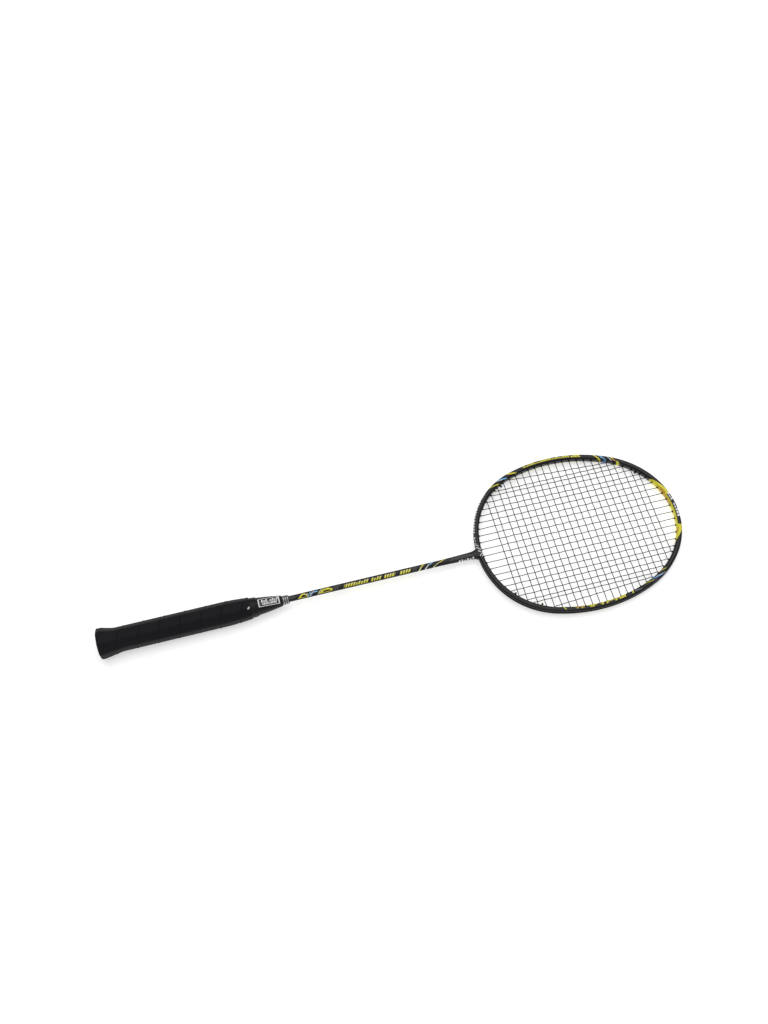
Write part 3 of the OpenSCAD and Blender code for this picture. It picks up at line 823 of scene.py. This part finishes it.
def grip_flats(x, turn):
    """Across-flats size of the wrap; the flare ends a little sooner on the far side."""
    wide, slim = BUTT_FLATS + 2 * GRIP_T, CORE_FLATS + 2 * GRIP_T
    slope = min(1.0, max(0.0, (x - 4.6) / (19.0 - 3.2 * math.sin(TAU * turn))))
    flats = wide - (wide - slim) * (0.6 * slope + 0.4 * smooth01(slope))
    if x > CONE_START - 6:
        flats -= 3.3 * ((x - CONE_START + 6) / (GRIP_END - CONE_START + 6)) ** 1.5
    if x < 2.6:
        flats -= 2.6 * (1 - math.sqrt(max(0.0, 1 - ((2.6 - x) / 2.02) ** 2)))
    return flats


def wrap_height(across, pitch):
    """Relief of wound tape across one turn: a creased edge and the hump of the overlap."""
    d = across if across < pitch / 2 else across - pitch
    crease = -0.34 * math.exp(-(d / 0.38) ** 2)
    hump = 0.26 * math.exp(-((d - 1.9) / 1.25) ** 2) if d > 0 else 0.0
    return crease + hump - 0.05


def wound_point(x, k, cols):
    """Point of the wound surface in column k of the mesh."""
    turn = k / cols
    across = (x - GRIP_START - WRAP_PITCH * turn) % WRAP_PITCH
    fade = smooth01((x - GRIP_START) / 3) * smooth01((GRIP_END - x) / 3)
    r = eight_r(turn, grip_flats(x, turn), 0.22) + wrap_height(across, WRAP_PITCH) * fade
    return Vector(around(x, r, 360 * turn)) * MM


def line_grip(bm, cols):
    """Bore of the grip, joined to both ends of the wound surface."""
    bore = [(GRIP_END, GRIP_BORE_END), (CONE_START, CORE_FLATS + 0.1), (27.0, CORE_FLATS + 0.1),
            (8.0, BUTT_FLATS + 0.1), (GRIP_START, BUTT_FLATS + 0.1)]
    chain = [[bm.verts.new(wound_point(GRIP_END, k, cols)) for k in range(cols)]]
    chain += [[bm.verts.new(Vector(p) * MM) for p in eight_ring(x, flats, 0.0, cols)]
              for x, flats in bore]
    chain.append([bm.verts.new(wound_point(GRIP_START, k, cols)) for k in range(cols)])
    for a, b in zip(chain, chain[1:]):
        for k in range(cols):
            q = (k + 1) % cols
            bm.faces.new((a[k], b[k], b[q], a[q]))


def make_grip(material):
    """Tape wound edge over edge; the mesh rows follow the winding, so the seams are clean."""
    cols, per_turn = 96, 44
    length = GRIP_END - GRIP_START + 2 * WRAP_PITCH
    rows = int(math.ceil(length / WRAP_PITCH * per_turn)) + 1
    bm = bmesh.new()
    grid = []
    for r in range(rows):
        line = []
        for k in range(cols):
            x = GRIP_START - WRAP_PITCH + WRAP_PITCH * (r / per_turn + k / cols)
            x = min(GRIP_END, max(GRIP_START, x))
            line.append(bm.verts.new(wound_point(x, k, cols)))
        grid.append(line)
    for r in range(rows - 1):
        for k in range(cols):
            last = k == cols - 1
            ahead, q = (per_turn, 0) if last else (0, k + 1)
            far, far_up = min(rows - 1, r + ahead), min(rows - 1, r + 1 + ahead)
            corners = [grid[r][k], grid[r + 1][k], grid[far_up][q], grid[far][q]]
            if len(set(corners)) > 2:
                bm.faces.new(list(dict.fromkeys(corners)))
    line_grip(bm, cols)
    return finish_mesh("grip_wrap", bm, material, 50, ["grip"])


def make_butt(cap_material, badge_material):
    """Moulded end cap with a soft edge and a shallow seat, and the plain badge in it."""
    shape = [(2.4, 29.4, 0.05), (0.9, 29.4, 0.05), (0.45, 29.1, 0.06), (0.15, 28.4, 0.08),
             (0.02, 27.2, 0.12), (0.0, 24.5, 0.4), (0.0, 20.6, 1.0), (0.1, 20.0, 1.0),
             (0.4, 19.3, 1.0), (0.8, 19.2, 1.0)]
    bm = bmesh.new()
    skin(bm, [eight_ring(x, flats, softness, 96) for x, flats, softness in shape])
    finish_mesh("end_cap", bm, cap_material, 40, ["butt_cap"])
    disc = [(0.78, 9.42), (0.3, 9.42), (0.14, 9.3), (0.08, 9.05), (0.08, 8.3), (0.2, 8.1),
            (0.34, 7.9), (0.34, 6.6), (0.26, 6.4), (0.2, 6.2), (0.2, 4.4), (0.28, 4.2),
            (0.28, 3.6), (0.2, 3.4), (0.16, 1.6), (0.15, 0.3)]
    lathe("end_badge", disc, badge_material, ["butt_badge"], 96)


# ---- strings ----

def seek(axis, goal, lo, hi):
    """Direction at which the inner wall reaches a given x (axis 0) or y (axis 1)."""
    for _ in range(40):
        mid = (lo + hi) / 2
        if (rim(lo, INNER_OUT)[axis] - goal) * (rim(mid, INNER_OUT)[axis] - goal) <= 0:
            hi = mid
        else:
            lo = mid
    return (lo + hi) / 2


def close_to(a, others):
    return [b for b in others if abs(run(a) - run(b)) < SHARE_WITHIN]


def joined(a, others):
    found = close_to(a, others)
    return (a + found[0]) / 2 if found else a


def hole_directions():
    """Directions of the cross holes and of the mains' upper and lower holes, from the axis out."""
    main_y = [MAIN_STEP * (i + 0.5) - MAIN_CLOSING * i ** 3 for i in range(MAIN_SIDE)]
    cross_raw = [seek(0, FIRST_CROSS_X + CROSS_STEP * j, 1, 179) for j in range(CROSS_COUNT)]
    upper_raw = [seek(1, y, 0, 89) for y in main_y]
    lower_raw = [seek(1, y, 91, 180) for y in main_y]
    cross = [joined(a, upper_raw + lower_raw) for a in cross_raw]
    upper = [joined(a, cross_raw) for a in upper_raw] + [cross[EDGE_UPPER]]
    lower = [joined(a, cross_raw) for a in lower_raw] + [cross[EDGE_LOWER]]
    return cross, upper, lower


CROSS, UPPER, LOWER = hole_directions()
MAINS = [(i, -1) for i in range(MAIN_SIDE, -1, -1)] + [(i, 1) for i in range(MAIN_SIDE + 1)]


def span_of(first, last):
    """Straight run between two holes, each (direction, side), from turn point to turn point."""
    return rim(first[0], TURN_OUT, first[1]), rim(last[0], TURN_OUT, last[1])


def main_spans():
    """For each main: its two holes in the order that the string runs."""
    spans = []
    for k, (i, side) in enumerate(MAINS):
        ends = [(LOWER[i], side), (UPPER[i], side)]
        spans.append(ends if k % 2 == 0 else ends[::-1])
    return spans


def cross_spans():
    spans = []
    for j, a in enumerate(CROSS):
        side = 1 if j % 2 == 0 else -1
        spans.append([(a, -side), (a, side)])
    return spans


def meeting(p, q):
    """How far along p the two spans cross, from 0 to 1, or None."""
    (x1, y1), (x2, y2) = p
    (x3, y3), (x4, y4) = q
    d = (x2 - x1) * (y4 - y3) - (y2 - y1) * (x4 - x3)
    if abs(d) < 1e-9:
        return None
    t = ((x3 - x1) * (y4 - y3) - (y3 - y1) * (x4 - x3)) / d
    w = ((x3 - x1) * (y2 - y1) - (y3 - y1) * (x2 - x1)) / d
    return t if 0 < t < 1 and 0 < w < 1 else None


def woven(span, others, number, start_z, end_z, sign):
    """Points along one span that pass over and under the others in turn."""
    line = span_of(*span)
    stops = [(0.0, start_z), (1.0, end_z)]
    for k, other in enumerate(others):
        t = meeting(line, span_of(*other))
        if t is not None:
            stops.append((t, sign * WEAVE_LIFT * (1 if (number + k) % 2 == 0 else -1)))
    stops.sort()
    (x1, y1), (x2, y2) = line
    points = []
    for (t0, z0), (t1, z1) in zip(stops, stops[1:]):
        for step in range(6):
            w = step / 6
            t = t0 + (t1 - t0) * w
            ease = (1 - math.cos(math.pi * w)) / 2
            points.append((x1 + (x2 - x1) * t, y1 + (y2 - y1) * t, z0 + (z1 - z0) * ease))
    points.append((x2, y2, end_z))
    return points


def groove_run(first, last, z):
    """Along the groove from one hole to the next, each (direction, side)."""
    a, b = run(first[0]) * first[1], run(last[0]) * last[1]
    steps = max(2, int(abs(b - a) / 1.6))
    points = []
    for k in range(steps + 1):
        s = a + (b - a) * k / steps
        points.append((*rim(min(180.0, direction_at(abs(s))), LOOP_OUT, 1 if s >= 0 else -1), z))
    return points


def is_shared(a):
    return a in CROSS and (a in UPPER or a in LOWER)


def string_path(spans, others, z, sign, start_hole, end_hole):
    """The whole of one string: tail, groove, spans with their loops, groove, tail."""
    points = [(*rim(start_hole[0], TAIL_OUT, start_hole[1]), z)]
    points += groove_run(start_hole, spans[0][0], z)
    for k, span in enumerate(spans):
        first_z = z if is_shared(span[0][0]) else 0.0
        last_z = z if is_shared(span[1][0]) else 0.0
        points += woven(span, others, k, first_z, last_z, sign)
        if k < len(spans) - 1:
            points += groove_run(span[1], spans[k + 1][0], z)
    points += groove_run(spans[-1][1], end_hole, z)
    points.append((*rim(end_hole[0], TAIL_OUT, end_hole[1]), z))
    return [Vector(p) for p in points]


def eased(points, cut=0.7):
    """Rounds off every sharp corner of a path with a short curve."""
    out = [points[0]]
    for before, here, after in zip(points, points[1:], points[2:]):
        back, ahead = before - here, after - here
        if back.length < 1e-6 or ahead.length < 1e-6:
            continue
        if back.angle(ahead) > math.radians(158):
            out.append(here)
            continue
        a = here + back.normalized() * min(cut, back.length * 0.45)
        b = here + ahead.normalized() * min(cut, ahead.length * 0.45)
        for step in range(5):
            t = step / 4
            out.append(a * (1 - t) ** 2 + here * 2 * t * (1 - t) + b * t * t)
    out.append(points[-1])
    return out


def tube(piece, points, radius, material, replaced, sides=8):
    """Sweeps a round section along a path that never runs straight up."""
    up = Vector((0, 0, 1))
    rings, lengths, total = [], [], 0.0
    for i, here in enumerate(points):
        before, after = points[max(0, i - 1)], points[min(len(points) - 1, i + 1)]
        ahead = (after - before).normalized()
        across = ahead.cross(up).normalized()
        over = across.cross(ahead)
        rings.append([here + across * radius * math.cos(TAU * k / sides)
                      + over * radius * math.sin(TAU * k / sides) for k in range(sides)])
        total += (here - before).length
        lengths.append(total)

    def twist(i, k):
        return (lengths[i], k / sides)

    bm = bmesh.new()
    bm.loops.layers.uv.new("twist")
    skin(bm, rings, twist)
    return finish_mesh(piece, bm, material, 70, replaced)


def make_strings(material):
    """The main and the cross string, each one length from one tie-off to the other."""
    mains, crosses = main_spans(), cross_spans()
    tie = (CROSS[EDGE_LOWER - 1] + CROSS[EDGE_LOWER - 2]) / 2
    tie_low = (CROSS[0] + LOWER[6]) / 2
    tie_high = (CROSS[-1] + CROSS[-2]) / 2
    path = string_path(mains, crosses, STRING_LIFT, 1, (tie, -1), (tie, 1))
    tube("main_strings", eased(path), SHOWN_STRING_R, material, ["main_string"])
    last_side = 1 if (CROSS_COUNT - 1) % 2 == 0 else -1
    path = string_path(crosses, mains, -STRING_LIFT, -1, (tie_low, -1), (tie_high, last_side))
    tube("cross_strings", eased(path), SHOWN_STRING_R, material, ["cross_string"])


# ---- floor, light and camera ----

MIDDLE = (0.34, 0, 0)   # metres, near the middle of the racket
FLOOR_GAP = 0.0004
BACKGROUND = 0.2
CAMERA_AIM, CAMERA_DISTANCE = (0.34417, 0.07954, 0.0), 1.3404   # metres


def make_floor():
    """Pale floor just under the lowest points of the butt and of the head."""
    butt = (8.0, -16.5)
    head = (TOTAL_LENGTH - 2.6, -HOOP_D / 2)
    slope = math.atan2(head[1] - butt[1], head[0] - butt[0])
    bm = bmesh.new()
    bmesh.ops.create_grid(bm, x_segments=12, y_segments=12, size=6.0)
    mesh = bpy.data.meshes.new("floor")
    bm.to_mesh(mesh)
    bm.free()
    mesh.materials.append(floor_paper())
    floor = bpy.data.objects.new("floor", mesh)
    bpy.context.scene.collection.objects.link(floor)
    x = MIDDLE[0] / MM
    height = butt[1] + (x - butt[0]) * math.tan(slope)
    floor.location = (MIDDLE[0], 0, height * MM - FLOOR_GAP)
    floor.rotation_euler = (0, -slope, 0)


def area_light(name, place, size, power):
    """White softbox aimed at the middle of the racket."""
    data = bpy.data.lights.new(name, "AREA")
    data.shape = "RECTANGLE"
    data.size, data.size_y = size
    data.energy = power
    lamp = bpy.data.objects.new(name, data)
    lamp.location = place
    lamp.rotation_euler = (Vector(place) - Vector(MIDDLE)).to_track_quat("Z", "Y").to_euler()
    bpy.context.scene.collection.objects.link(lamp)


def make_light():
    """Even pale surroundings, a wide softbox overhead and a weak one from the near side."""
    scene = bpy.context.scene
    world = bpy.data.worlds.new("studio")
    world.use_nodes = True
    sky = world.node_tree.nodes["Background"]
    sky.inputs[0].default_value = (1, 1, 1, 1)
    sky.inputs[1].default_value = BACKGROUND
    scene.world = world
    scene.view_settings.view_transform = "Standard"
    area_light("key", (0.5, 0.55, 2.2), (2.8, 2.8), 40)
    area_light("fill", (0.0, -1.6, 1.5), (1.6, 0.8), 5)


def make_camera():
    """Camera at the photograph's viewing angle."""
    azimuth, elevation = math.radians(-14.611), math.radians(62.231)
    back = Vector((math.sin(azimuth) * math.cos(elevation),
                   -math.cos(azimuth) * math.cos(elevation), math.sin(elevation)))
    data = bpy.data.cameras.new("camera")
    data.sensor_width = 36.0
    data.lens = 40.6
    camera = bpy.data.objects.new("camera", data)
    camera.location = Vector(CAMERA_AIM) + back * CAMERA_DISTANCE
    camera.rotation_euler = back.to_track_quat("Z", "Y").to_euler()
    bpy.context.scene.collection.objects.link(camera)
    bpy.context.scene.camera = camera


def dress_kept_nodes(string_material):
    """Materials for the CAD nodes that stay as they are."""
    grommet = nylon("grommet_nylon")
    joint = nylon("joint_nylon", (0.012, 0.012, 0.013, 1))
    wood = pale_wood()
    looks = {"t_joint": joint, "handle_core": wood, "main_knots": string_material,
             "cross_knots": string_material}
    for name, obj in NODES.items():
        material = grommet if name.endswith("_grommets") else looks.get(name)
        if material:
            obj.data.materials.clear()
            obj.data.materials.append(material)


make_camera()
make_light()
make_floor()
STRING_COAT = string_coat()
make_strings(STRING_COAT)
make_hoop(painted("hoop_lacquer", hoop_coordinates, hoop_marks),
          nylon("groove_nylon", (0.002, 0.002, 0.002, 1), 0.04))
SHAFT_LACQUER = painted("shaft_lacquer", round_coordinates, shaft_marks)
make_fairing(SHAFT_LACQUER)
make_shaft(SHAFT_LACQUER)
make_cone(cone_plastic())
make_label(label_print())
make_collar(brushed("collar_dark", (0.05, 0.05, 0.055, 1), (0.16, 0.16, 0.17, 1), 0.3, 0.8),
            brushed("collar_bright", (0.34, 0.35, 0.36, 1), (0.60, 0.61, 0.63, 1), 0.22))
make_finish_tape(tape_vinyl())
make_tape_tab(nylon("tape_backing", (0.42, 0.42, 0.43, 1)))
make_grip(grip_leather())
make_butt(nylon("cap_moulding", (0.011, 0.011, 0.012, 1)),
          brushed("badge_metal", (0.30, 0.30, 0.32, 1), (0.62, 0.63, 0.65, 1), 0.25))
dress_kept_nodes(STRING_COAT)
